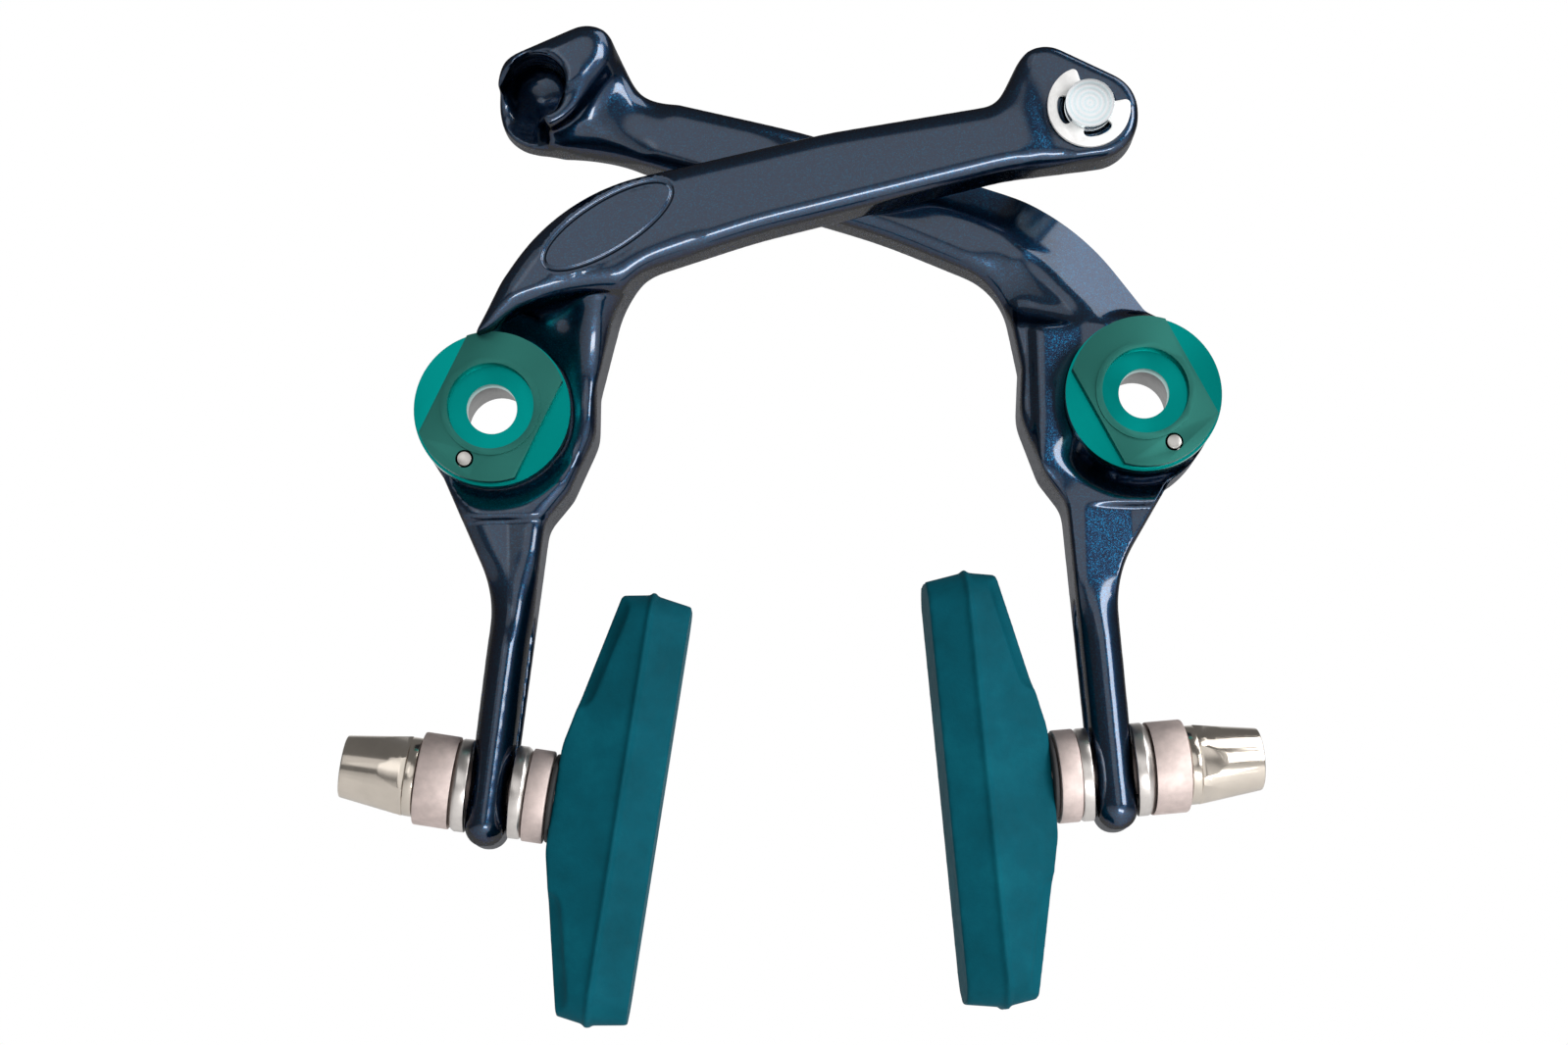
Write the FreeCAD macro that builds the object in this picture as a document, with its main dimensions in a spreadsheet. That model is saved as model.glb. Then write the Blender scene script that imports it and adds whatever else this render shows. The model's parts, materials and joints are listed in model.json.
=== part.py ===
import FreeCAD
import Part
import math
import os

# Rim brake of the crossed-arm kind: two forged arms on two frame studs, a shoe in the slotted leg of
# each arm, a torsion spring and its adjuster at each pivot.
# Millimetres. +Z up, the front of the brake faces -Y, and Y = 0 is the mounting plane of the pivots.
# The origin lies midway between the pivots. "Depth" is the distance in front of the mounting plane.

doc = FreeCAD.newDocument("rim_brake")
sheet = doc.addObject("Spreadsheet::Sheet", "Sizes")

SIZES = {
    # layout of the pair
    "pivot_spacing": 80.0,
    "rear_set_angle": 4.5,
    # depth stations of the arms
    "boss_back": 0.8,
    "arm_face": 13.6,
    "bowl_floor": 12.3,
    "front_beam_back": 12.7,
    "front_beam_face": 22.0,
    "rear_beam_back": 3.0,
    "rear_beam_face": 12.0,
    # beam and head
    "elbow_out_u": 9.1,
    "elbow_out_w": 25.6,
    "elbow_in_u": 16.0,
    "elbow_in_w": 15.2,
    "head_u": 74.0,
    "head_w": 34.7,
    "head_step": 0.7,
    "oval_u": 15.7,
    "oval_w": 21.5,
    "oval_long": 8.5,
    "oval_short": 2.9,
    "under_u": 33.0,
    "front_under_share": 0.42623,
    "rear_under_share": 0.40299,
    "beam_face_round": 2.2,
    "beam_back_round": 1.0,
    # boss and leg
    "boss_radius": 10.9,
    "boss_shift": 1.6,
    "bowl_radius": 10.2,
    "bowl_curve": 2.6,
    "root_radius": 19.0,
    "front_step": 30.4,
    "front_step_u": 15.2,
    "front_step_w": 17.1,
    "rear_crest": 11.0,
    "rear_crest_tilt": -11.0,
    "neck_w": 22.0,
    "fork_u": -1.3,
    "fork_w": 46.0,
    "fork_end": 7.2,
    "fork_lean": 8.5,
    "fork_thick": 5.0,
    "leg_face_round": 2.2,
    "leg_back_round": 1.2,
    "post_depth": 7.2,
    "slot_half_width": 3.5,
    "slot_up": 18.0,
    "slot_down": 1.4,
    # differences of the rear arm
    "rear_leg_inset": 2.6,
    "rear_head_shift": 2.0,
    "rear_lobe_face": 17.0,
    "rear_elbow_drop": 2.0,
    # pivot
    "bush_bore": 4.05,
    "bush_radius": 5.0,
    "bush_front": 12.9,
    "pivot_clearance": 0.05,
    "spring_pocket_in": 6.1,
    "spring_pocket_out": 8.4,
    "spring_pocket_floor": 5.0,
    # return spring
    "spring_radius": 7.2,
    "spring_wire": 0.85,
    "spring_pitch": 1.9,
    "spring_turns": 2.75,
    "spring_back": 6.2,
    "spring_tail": 2.8,
    "spring_tip": 18.0,
    # spring adjuster
    "adjuster_back": 13.2,
    "flange_radius": 9.6,
    "flange_thick": 2.4,
    "wrench_radius": 9.3,
    "wrench_flats": 13.0,
    "wrench_height": 4.6,
    "lip_radius": 6.1,
    "lip_height": 5.1,
    "bolt_recess": 5.3,
    "bolt_recess_depth": 2.6,
    "bolt_bore": 3.1,
    "wire_hole": 1.1,
    "adjuster_turn": 27.0,
    "seal_ring_in": 8.55,
    "seal_ring_out": 9.35,
    "seal_ring_thick": 0.6,
    # cable anchor in the front head
    "pin_radius": 3.0,
    "pin_front": 23.8,
    "pin_head_radius": 4.4,
    "pin_head_back": 6.4,
    "pin_head_gap": 0.3,
    "clip_groove": 2.3,
    "clip_radius": 5.1,
    "clip_thick": 0.8,
    "clip_gap": 0.3,
    "clip_bore": 2.35,
    "clip_relief": 3.9,
    "cable_hole": 1.0,
    # cable seat in the rear head
    "seat_radius": 3.7,
    "seat_floor": 9.0,
    "seat_u": 76.9,
    "seat_w": 35.1,
    # shoe hardware, measured from the ball centre in the middle of the fork
    "washer_radius": 5.75,
    "ball_radius": 7.0,
    "ball_gap": 0.3,
    "seat_gap": 0.2,
    "dome_bore": 4.2,
    "cup_bore": 3.05,
    "inner_cup_end": 7.2,
    "outer_cup_end": 9.0,
    "turn_gap": 0.2,
    "pad_ring_thick": 0.6,
    "pad_ring_radius": 5.5,
    "nut_washer_thick": 1.2,
    "nut_washer_radius": 4.9,
    "nut_length": 8.1,
    "nut_base_radius": 4.95,
    "nut_tip_radius": 3.85,
    "nut_flats": 9.0,
    "nut_bore_depth": 6.2,
    "post_radius": 3.0,
    "post_flange_radius": 3.9,
    "post_flange_thick": 2.6,
    # pad
    "pad_length": 53.3,
    "pad_depth": 12.4,
    "pad_corner": 4.2,
    "pad_face_thick": 4.8,
    "pad_hump": 13.0,
    "pad_end": 8.7,
    "pad_flat": 6.5,
    "pad_draft": 9.0,
    "front_pad_drop": 0.1,
    "rear_pad_drop": 0.7,
    "flash_out": 0.3,
    "flash_thick": 0.5,
    "scoop_radius": 2.6,
    "scoop_start": 13.5,
    "rear_toe": 5.0,
    "front_lean": 1.6,
}

for row, (alias, number) in enumerate(SIZES.items(), start=1):
    sheet.set("A%d" % row, alias)
    sheet.set("B%d" % row, str(number))
    sheet.setAlias("B%d" % row, alias)
doc.recompute()

V = FreeCAD.Vector
X_AXIS = V(1, 0, 0)
Y_AXIS = V(0, 1, 0)
Z_AXIS = V(0, 0, 1)
FACING = FreeCAD.Rotation(X_AXIS, 90)
UPRIGHT = FreeCAD.Rotation()
REACH = 60.0
nodes = {}


def size(alias):
    return float(sheet.get(alias))


def bind(item, **formulas):
    for prop, formula in formulas.items():
        item.setExpression(prop, formula)
    return item


def at(x, y, z, turn=UPRIGHT):
    return FreeCAD.Placement(V(x, y, z), turn)


def node(label, item, placement):
    item.Label = label
    item.Placement = placement
    nodes[label] = item
    return item


def cylinder(name, radius, height, start=0.0, x=0.0, y=0.0):
    item = doc.addObject("Part::Cylinder", name)
    item.Placement = at(x, y, start)
    return bind(item, Radius=radius, Height=height)


def cone(name, low_radius, high_radius, height, start=0.0):
    item = doc.addObject("Part::Cone", name)
    item.Placement = at(0, 0, start)
    return bind(item, Radius1=low_radius, Radius2=high_radius, Height=height)


def ball(name, radius, x=0.0, y=0.0, z=0.0):
    item = doc.addObject("Part::Sphere", name)
    item.Placement = at(x, y, z)
    return bind(item, Radius=radius)


def block(name, length, width, height, placement):
    item = doc.addObject("Part::Box", name)
    item.Placement = placement
    return bind(item, Length=length, Width=width, Height=height)


def fuse(name, items, refine=True):
    item = doc.addObject("Part::MultiFuse", name)
    item.Shapes = items
    item.Refine = refine
    return item


def common(name, items):
    item = doc.addObject("Part::MultiCommon", name)
    item.Shapes = items
    return item


def cut(name, base, tool):
    item = doc.addObject("Part::Cut", name)
    item.Base = base
    item.Tool = tool
    return item


def sketch_in(body, name, placement):
    if body is None:
        item = doc.addObject("Sketcher::SketchObject", name)
    else:
        item = body.newObject("Sketcher::SketchObject", name)
    item.Placement = placement
    return item


def outline(sketch, corners):
    """Closed outline of straight runs; each corner is (x, y, radius of its tangent arc)."""
    count = len(corners)
    ends = []
    for i, (x, y, radius) in enumerate(corners):
        here = V(x, y, 0)
        back = V(corners[i - 1][0], corners[i - 1][1], 0) - here
        ahead = V(corners[(i + 1) % count][0], corners[(i + 1) % count][1], 0) - here
        back.normalize()
        ahead.normalize()
        half = back.getAngle(ahead) / 2
        if radius <= 0:
            ends.append((here, None, here))
            continue
        run = radius / math.tan(half)
        inward = back + ahead
        inward.normalize()
        middle = here + inward * (radius / math.sin(half) - radius)
        ends.append((here + back * run, middle, here + ahead * run))
    for i, (start, middle, stop) in enumerate(ends):
        if middle is not None:
            sketch.addGeometry(Part.Arc(start, middle, stop), False)
        sketch.addGeometry(Part.LineSegment(stop, ends[(i + 1) % count][0]), False)
    return sketch


def pad(body, name, profile, length, **options):
    item = body.newObject("PartDesign::Pad", name)
    item.Profile = profile
    bind(item, Length=length)
    for prop, value in options.items():
        setattr(item, prop, value)
    doc.recompute()
    return item


def pocket(body, name, profile, length):
    item = body.newObject("PartDesign::Pocket", name)
    item.Profile = profile
    bind(item, Length=length)
    doc.recompute()
    return item


def groove(body, name, profile):
    item = body.newObject("PartDesign::Groove", name)
    item.Profile = profile
    item.ReferenceAxis = (profile, ["V_Axis"])
    item.Angle = 360
    doc.recompute()
    return item


HUB = 8.5


def rim_edges(shape, facing, depth):
    """Edges between a wall along Y and a face that looks along facing (-1 front, +1 back).

    A depth keeps only the edges that lie that far in front of the frame.  Edges inside the hub stay square.
    """
    found = []
    for number, edge in enumerate(shape.Edges, start=1):
        middle = edge.valueAt((edge.FirstParameter + edge.LastParameter) / 2)
        if depth is not None and abs(middle.y + depth) > 0.05:
            continue
        if math.hypot(middle.x, middle.z) < HUB:
            continue
        looks = []
        for face in shape.ancestorsOfType(edge, Part.Face):
            u, v = face.Surface.parameter(middle)
            looks.append(face.normalAt(u, v).y * facing)
        if len(looks) == 2 and max(looks) > 0.8 and abs(min(looks, key=abs)) < 0.1:
            found.append("Edge%d" % number)
    return found


def fillet(body, name, base, radius, facing, depth=None):
    item = body.newObject("PartDesign::Fillet", name)
    item.Base = (base, rim_edges(base.Shape, facing, depth))
    bind(item, Radius=radius)
    doc.recompute()
    return item


# arms

FORK_LEAN = math.radians(size("fork_lean"))


def fork_line(w, inset):
    return size("fork_u") + inset + (w + size("fork_w")) * math.tan(FORK_LEAN)


def head_corners(head_u, head_w):
    return [
        (head_u - 6.8, head_w + 9.6, 4.0),
        (head_u + 6.2, head_w + 2.9, 5.0),
    ]


def step_cut(body, name, side, tilt, corners):
    """Cuts away what lies in front of a stepped section; corners are (distance from the pivot, y, radius)."""
    lean = math.radians(tilt)
    away = V(-side * math.sin(lean), 0, math.cos(lean))
    turn = FreeCAD.Rotation(away, Y_AXIS, away.cross(Y_AXIS), "ZXY")
    profile = outline(sketch_in(body, name + "_section", at(0, 0, 0, turn)), corners)
    item = body.newObject("PartDesign::Pocket", name)
    item.Profile = profile
    item.SideType = "Symmetric"
    item.Length = REACH * 4
    doc.recompute()
    return item


def beam_body(name, side, inset, head_shift, elbow_drop, face, back):
    """Curved beam with its head, from the pivot to the cable end; u runs towards the other pivot."""
    head_u = size("head_u") + head_shift
    head_w = size("head_w")
    low_u = size("elbow_in_u") + inset * 0.7
    low_w = size("elbow_in_w") - elbow_drop * 0.6
    root_w = head_w - 7.3
    share = size("front_under_share") if side > 0 else size("rear_under_share")
    corners = [
        (-4.5, 6.2, 0),
        (size("elbow_out_u"), size("elbow_out_w") - elbow_drop, 26.0),
        (head_u - 32.0, head_w - 2.1 - elbow_drop * 0.3, 60.0),
        (head_u - 11.2, head_w + 0.9, 3.2),
    ] + head_corners(head_u, head_w) + [
        (head_u + 6.2, head_w - 5.6, 5.4),
        (head_u - 10.2, root_w, 30.0),
        (size("under_u"), low_w + share * (root_w - low_w), 80.0),
        (low_u, low_w, 9.0),
        (10.8 + inset * 0.9, -4.0, 0),
    ]
    body = doc.addObject("PartDesign::Body", name)
    profile = sketch_in(body, name + "_outline", at(0, -size("boss_back"), 0, FACING))
    outline(profile, [(side * u, w, r) for u, w, r in corners])
    solid = pad(body, name + "_pad", profile, "Sizes.front_beam_face - Sizes.boss_back")
    boss_face = -size("arm_face")
    far = REACH * 2.5
    if side > 0:
        # the front beam stands up from the boss face and crosses in front
        solid = fillet(body, name + "_face_round", solid, "Sizes.beam_face_round", -1)
        wall = size("front_step")
        section = sketch_in(body, name + "_step_section", at(size("front_step_u"), 0, -size("front_step_w")))
        solid = groove(body, name + "_step", outline(section, [
            (0, boss_face, 0),
            (wall, boss_face, 3.4),
            (wall + 0.6, 1.3 - face, 1.4),
            (wall + 2.4, -face - 0.5, 0),
            (wall + 2.4, -REACH, 0),
            (0, -REACH, 0),
        ]))
    else:
        # the rear beam leaves the boss face at a crest and crosses behind
        crest = size("rear_crest")
        solid = step_cut(body, name + "_step", side, size("rear_crest_tilt"), [
            (-REACH, boss_face, 0),
            (crest, boss_face, 1.5),
            (crest + 4.8, -face, 3.0),
            (far, -face, 0),
            (far, -REACH, 0),
            (-REACH, -REACH, 0),
        ])
        solid = fillet(body, name + "_face_round", solid, "Sizes.beam_face_round", -1)
    slope = 0.6 * (back - size("boss_back"))
    start = size("root_radius") if side > 0 else size("boss_radius") + 0.5
    behind = outline(sketch_in(body, name + "_behind", at(0, 0, 0)), [
        (start, 5.0, 0),
        (start, -size("boss_back"), 0),
        (start + slope, -back, 4.0),
        (far, -back, 0),
        (far, 5.0, 0),
    ])
    solid = groove(body, name + "_back_cut", behind)
    fillet(body, name + "_back_round", solid, "Sizes.beam_back_round", 1, back)
    return body


def leg_body(name, side, inset):
    """Leg from the boss to the slotted fork that carries the shoe."""
    half = size("fork_thick") / 2
    end_w = -size("fork_w") - size("fork_end")
    neck_w = -size("neck_w")
    knee_w = -13.5
    corners = [
        (-8.3 + inset * 0.3, -3.2, 0),
        (fork_line(neck_w, inset) - half - 0.3, neck_w, 14.0),
        (fork_line(end_w, inset) - half, end_w, half - 0.1),
        (fork_line(end_w, inset) + half, end_w, half - 0.1),
        (fork_line(knee_w, inset) + half, knee_w, 4.0),
        (9.2 + inset, -9.8, 3.5),
        (12.6 + inset * 0.9, -2.6, 6.0),
        (12.9 + inset * 0.8, 6.0, 0),
        (-3.0, 3.0, 0),
    ]
    body = doc.addObject("PartDesign::Body", name)
    profile = sketch_in(body, name + "_outline", at(0, -size("boss_back"), 0, FACING))
    outline(profile, [(side * u, w, r) for u, w, r in corners])
    solid = pad(body, name + "_pad", profile, "Sizes.arm_face - Sizes.boss_back")
    solid = fillet(body, name + "_face_round", solid, "Sizes.leg_face_round", -1)
    fillet(body, name + "_back_round", solid, "Sizes.leg_back_round", 1)
    return body


def lobe_body(name, side, head_shift):
    """Raised lobe of the rear head around the cable seat."""
    head_u = size("head_u") + head_shift
    head_w = size("head_w")
    corners = [(head_u - 9.6, head_w + 4.1, 2.5)] + head_corners(head_u, head_w) + [
        (head_u + 6.2, head_w - 3.2, 2.6),
        (head_u + 2.2, head_w - 4.8, 3.5),
        (head_u - 3.4, head_w - 1.8, 6.0),
    ]
    body = doc.addObject("PartDesign::Body", name)
    profile = sketch_in(body, name + "_outline", at(0, -size("rear_beam_back") - 3.0, 0, FACING))
    outline(profile, [(side * u, w, r) for u, w, r in corners])
    solid = pad(body, name + "_pad", profile, "Sizes.rear_lobe_face - Sizes.rear_beam_back - 3")
    fillet(body, name + "_face_round", solid, "Sizes.beam_face_round", -1)
    return body


def turned_tool(name, corners):
    """Solid of revolution about the pivot axis; corners are (radius, y, corner radius)."""
    profile = sketch_in(None, name + "_profile", at(0, 0, 0))
    outline(profile, corners)
    item = doc.addObject("Part::Revolution", name)
    item.Source = profile
    item.Axis = Y_AXIS
    item.Base = V(0, 0, 0)
    item.Angle = 360
    item.Solid = True
    return item


def front_cylinder(name, radius, x, z, near, far):
    """Round tool along Y between two depths."""
    item = doc.addObject("Part::Cylinder", name)
    item.Placement = at(x, -near, z, FACING)
    item.Height = far - near
    return bind(item, Radius=radius)


def dish_tool(name):
    """Shallow turned hollow that clears the adjuster's flange."""
    rim = size("bowl_radius") + size("bowl_curve")
    lip = size("arm_face") + 0.4
    return turned_tool(name, [
        (0, -size("bowl_floor"), 0),
        (size("bowl_radius"), -size("bowl_floor"), 2.5),
        (rim, -lip, 0),
        (rim, -lip - 3.0, 0),
        (0, -lip - 3.0, 0),
    ])


def raised(name, profile, length):
    """Solid drawn out of a closed profile along its normal."""
    item = doc.addObject("Part::Extrusion", name)
    item.Base = profile
    item.DirMode = "Normal"
    item.Solid = True
    return bind(item, LengthFwd=length)


def shoe_seat(side, inset):
    """Frame of a shoe in its arm: origin at the ball centre, z out to the nut, x up the fork."""
    up = V(side * math.sin(FORK_LEAN), 0, math.cos(FORK_LEAN))
    out = V(-side * math.cos(FORK_LEAN), 0, math.sin(FORK_LEAN))
    turn = FreeCAD.Rotation(up, out.cross(up), out, "ZXY")
    return at(side * (size("fork_u") + inset), -size("post_depth"), -size("fork_w"), turn)


def arm(label, side, inset, head_shift, elbow_drop, face, back, set_angle):
    beam = beam_body(label + "_beam", side, inset, head_shift, elbow_drop, face, back)
    leg = leg_body(label + "_leg", side, inset)
    wider = inset * 0.42
    boss = front_cylinder(
        label + "_boss", "Sizes.boss_radius + %s" % wider, side * (size("boss_shift") + wider), 0,
        size("boss_back"), size("bowl_floor"))
    boss.Placement = boss.Placement * at(0, 0, 0, FreeCAD.Rotation(Z_AXIS, 90 + side * 100.0))
    pieces = [beam, boss, leg]
    bowl = front_cylinder(label + "_bowl", "Sizes.bowl_radius", 0, 0, size("bowl_floor"), REACH)
    hollow = dish_tool(label + "_dish")
    bore = front_cylinder(
        label + "_bore", "Sizes.bush_radius + Sizes.pivot_clearance", 0, 0, -5.0, REACH)
    ring = turned_tool(label + "_spring_pocket", [
        (size("spring_pocket_in"), -size("spring_pocket_floor"), 0),
        (size("spring_pocket_out"), -size("spring_pocket_floor"), 0),
        (size("spring_pocket_out"), -REACH, 0),
        (size("spring_pocket_in"), -REACH, 0),
    ])
    tail_turn = math.radians(-side * size("adjuster_turn") + (0 if side > 0 else 180) + set_angle)
    reach = size("spring_radius")
    tail = front_cylinder(
        label + "_tail_hole", "Sizes.spring_wire + 0.2", reach * math.cos(tail_turn),
        reach * math.sin(tail_turn), size("spring_tail") - 0.4, size("spring_pocket_floor") + 1.0)
    profile = sketch_in(None, label + "_slot_profile", shoe_seat(side, inset) * at(0, 0, -20.0))
    high = size("slot_up")
    low = size("slot_down")
    half = size("slot_half_width")
    profile.addGeometry(Part.LineSegment(V(-low, -half, 0), V(high, -half, 0)), False)
    profile.addGeometry(Part.Arc(V(high, -half, 0), V(high + half, 0, 0), V(high, half, 0)), False)
    profile.addGeometry(Part.LineSegment(V(high, half, 0), V(-low, half, 0)), False)
    profile.addGeometry(Part.Arc(V(-low, half, 0), V(-low - half, 0, 0), V(-low, -half, 0)), False)
    slot = raised(label + "_slot", profile, "40")
    return pieces, [bowl, hollow, bore, ring, tail, slot]


def arm_placement(side, angle):
    return at(-side * size("pivot_spacing") / 2, 0, 0, FreeCAD.Rotation(Y_AXIS, angle))


FRONT_AT = arm_placement(1, 0.0)
REAR_AT = arm_placement(-1, size("rear_set_angle"))
HEAD_U = size("head_u")
HEAD_W = size("head_w")
HEAD_FACE = size("front_beam_face") - size("head_step")

pieces, tools = arm("front_arm", 1, 0.0, 0.0, 0.0, size("front_beam_face"), size("front_beam_back"), 0.0)
tools.append(front_cylinder(
    "front_arm_pin_bore", "Sizes.pin_radius + Sizes.pivot_clearance", HEAD_U, HEAD_W, 0.0, REACH))
tools.append(block("front_arm_head_step", "30", "20", "60", at(
    HEAD_U, 0, HEAD_W, FreeCAD.Rotation(Y_AXIS, -15.0)) * at(-6.6, -HEAD_FACE - 20.0, -30.0)))
oval_at = at(size("oval_u"), -size("front_beam_face") - 1.0, size("oval_w"), FreeCAD.Rotation(Y_AXIS, -31.0))
for tag, grow in (("outer", 0.2), ("inner", -0.2)):
    oval = doc.addObject("Part::Ellipse", "front_arm_oval_" + tag)
    oval.Placement = oval_at * at(0, 0, 0, FreeCAD.Rotation(X_AXIS, -90))
    bind(oval, MajorRadius="Sizes.oval_long + %s" % grow, MinorRadius="Sizes.oval_short + %s" % grow)
rim = raised("front_arm_oval_rim", doc.getObject("front_arm_oval_outer"), "1.25")
island = raised("front_arm_oval_island", doc.getObject("front_arm_oval_inner"), "3")
tools.append(cut("front_arm_oval", rim, island))
stock = fuse("front_arm_stock", pieces, False)
node("front_arm", cut("front_arm", stock, fuse("front_arm_cuts", tools)), FRONT_AT)

pieces, tools = arm(
    "rear_arm", -1, size("rear_leg_inset"), size("rear_head_shift"), size("rear_elbow_drop"),
    size("rear_beam_face"), size("rear_beam_back"), size("rear_set_angle"))
pieces.append(lobe_body("rear_arm_lobe", -1, size("rear_head_shift")))


def on_circle(radius, angle):
    return V(radius * math.cos(math.radians(angle)), radius * math.sin(math.radians(angle)), 0)


# cable seat: a round pocket whose mouth widens towards the tip of the head
UPPER_LIP = 232.0
LOWER_LIP = 247.0
SEAT_RUN = 14.0
seat_at = at(-size("seat_u"), -size("seat_floor"), size("seat_w"), FACING)
profile = sketch_in(None, "rear_arm_seat_profile", seat_at)
lip_a = on_circle(size("seat_radius"), UPPER_LIP - 90)
lip_b = on_circle(size("seat_radius"), LOWER_LIP + 90)
crown = on_circle(size("seat_radius"), (UPPER_LIP + LOWER_LIP) / 2 - 180)
mouth_a = lip_a + on_circle(SEAT_RUN, UPPER_LIP)
mouth_b = lip_b + on_circle(SEAT_RUN, LOWER_LIP)
profile.addGeometry(Part.Arc(lip_b, crown, lip_a), False)
profile.addGeometry(Part.LineSegment(lip_a, mouth_a), False)
profile.addGeometry(Part.LineSegment(mouth_a, mouth_b), False)
profile.addGeometry(Part.LineSegment(mouth_b, lip_b), False)
tools.append(raised("rear_arm_seat", profile, "40"))
stock = fuse("rear_arm_stock", pieces, False)
node("rear_arm", cut("rear_arm", stock, fuse("rear_arm_cuts", tools)), REAR_AT)

# pivots: bush, adjuster, ring under its flange, return spring

for hand, side, arm_at in (("left", 1, FRONT_AT), ("right", -1, REAR_AT)):
    pivot_x = -side * size("pivot_spacing") / 2
    name = "pivot_bush_" + hand
    sleeve = cylinder(name + "_sleeve", "Sizes.bush_radius", "Sizes.bush_front")
    bore = cylinder(name + "_bore", "Sizes.bush_bore", "Sizes.bush_front + 2", -1.0)
    node(name, cut(name, sleeve, bore), at(pivot_x, 0, 0, FACING))

    name = "spring_adjuster_" + hand
    flange = cylinder(name + "_flange", "Sizes.flange_radius", "Sizes.flange_thick")
    barrel = cylinder(name + "_barrel", "Sizes.wrench_radius", "Sizes.wrench_height")
    flats = block(name + "_flats", "Sizes.wrench_flats", "40", "Sizes.wrench_height",
                  at(-size("wrench_flats") / 2, -20, 0))
    hub = common(name + "_hub", [barrel, flats])
    lip = cylinder(name + "_lip", "Sizes.lip_radius", "Sizes.lip_height")
    recess = cylinder(name + "_recess", "Sizes.bolt_recess", "10",
                      size("lip_height") - size("bolt_recess_depth"))
    bore = cylinder(name + "_bore", "Sizes.bolt_bore", "20", -1.0)
    wire_hole = cylinder(name + "_wire_hole", "Sizes.wire_hole", "20", -1.0, 0.0, -size("spring_radius"))
    turn = FreeCAD.Rotation(Z_AXIS, -side * size("adjuster_turn"))
    adjuster_at = at(pivot_x, -size("adjuster_back"), 0, FACING * turn)
    shaped = cut(name, fuse(name + "_body", [flange, hub, lip]),
                 fuse(name + "_holes", [recess, bore, wire_hole]))
    node(name, shaped, adjuster_at)

    name = "seal_ring_" + hand
    outer = cylinder(name + "_outer", "Sizes.seal_ring_out", "Sizes.seal_ring_thick")
    inner = cylinder(name + "_inner", "Sizes.seal_ring_in", "Sizes.seal_ring_thick + 2", -1.0)
    node(name, cut(name, outer, inner),
         at(pivot_x, -size("adjuster_back") + size("seal_ring_thick"), 0, FACING))

    name = "return_spring_" + hand
    foot = size("spring_back") - size("adjuster_back")
    rise = size("spring_pitch") * size("spring_turns")
    begin = 0.0 if side > 0 else 180.0
    coil = doc.addObject("Part::Helix", name + "_coil")
    coil.LocalCoord = "Right-handed" if side > 0 else "Left-handed"
    coil.Placement = at(0, 0, foot, FreeCAD.Rotation(Z_AXIS, begin))
    bind(coil, Radius="Sizes.spring_radius", Pitch="Sizes.spring_pitch",
         Height="Sizes.spring_pitch * Sizes.spring_turns")
    # one face to each turn
    coil.SegmentLength = 1.0
    section = doc.addObject("Part::Circle", name + "_section")
    section.Placement = at(side * size("spring_radius"), 0, foot, FreeCAD.Rotation(X_AXIS, 90))
    bind(section, Radius="Sizes.spring_wire")
    wire = doc.addObject("Part::Sweep", name + "_wire")
    wire.Sections = [section]
    wire.Spine = (coil, [""])
    wire.Solid = True
    wire.Frenet = True
    elbow = "Sizes.spring_wire * 1.12"
    tail_x = side * size("spring_radius")
    tail_elbow = ball(name + "_tail_elbow", elbow, tail_x, 0, foot)
    tail = cylinder(name + "_tail", "Sizes.spring_wire", "Sizes.spring_back - Sizes.spring_tail",
                    size("spring_tail") - size("adjuster_back"), tail_x, 0)
    tip_elbow = ball(name + "_tip_elbow", elbow, 0, -size("spring_radius"), foot + rise)
    tip = cylinder(name + "_tip", "Sizes.spring_wire",
                   "Sizes.spring_tip - Sizes.spring_back - Sizes.spring_pitch * Sizes.spring_turns",
                   foot + rise, 0, -size("spring_radius"))
    front_end = fuse(name + "_front_end", [tip_elbow, tip])
    back_end = fuse(name + "_back_end", [tail_elbow, tail])
    wound = fuse(name + "_wound", [wire, front_end], False)
    node(name, fuse(name, [wound, back_end], False), adjuster_at)

# cable anchor pin and its clip, in the front arm's head

head_at = FRONT_AT * at(HEAD_U, 0, HEAD_W, FACING)
pin_from = size("front_beam_back") - size("pin_head_gap")
clip_from = HEAD_FACE + size("clip_gap")
shank = cylinder("cable_anchor_pin_shank", "Sizes.pin_radius", "Sizes.pin_front - Sizes.pin_head_back",
                 size("pin_head_back"))
knob = cylinder("cable_anchor_pin_knob", "Sizes.pin_head_radius",
                "Sizes.front_beam_back - Sizes.pin_head_gap - Sizes.pin_head_back", size("pin_head_back"))
band = cylinder("cable_anchor_pin_band", "Sizes.pin_radius + 1", "Sizes.clip_thick + 0.1", clip_from - 0.05)
core = cylinder("cable_anchor_pin_core", "Sizes.clip_groove", "Sizes.clip_thick + 2", clip_from - 1.0)
cable_hole = cylinder("cable_anchor_pin_cable_hole", "Sizes.cable_hole", "40")
cable_hole.Placement = at(-20, 0, (size("pin_head_back") + pin_from) / 2, FreeCAD.Rotation(Y_AXIS, 90))
pin_body = fuse("cable_anchor_pin_body", [shank, knob])
pin_cuts = fuse("cable_anchor_pin_cuts", [cut("cable_anchor_pin_groove", band, core), cable_hole])
node("cable_anchor_pin", cut("cable_anchor_pin", pin_body, pin_cuts), head_at)

# three-pronged clip: the gap faces +x before it is turned, with a relief either side of the back prong
CLIP_MOUTH = 49.0
RELIEF_NEAR = 98.0
RELIEF_FAR = 162.0
outer = size("clip_radius")
inner = size("clip_bore")
relief = size("clip_relief")
profile = sketch_in(None, "anchor_clip_profile", at(0, 0, clip_from))


def clip_arc(radius, start, stop):
    middle = on_circle(radius, (start + stop) / 2)
    profile.addGeometry(Part.Arc(on_circle(radius, start), middle, on_circle(radius, stop)), False)


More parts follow.
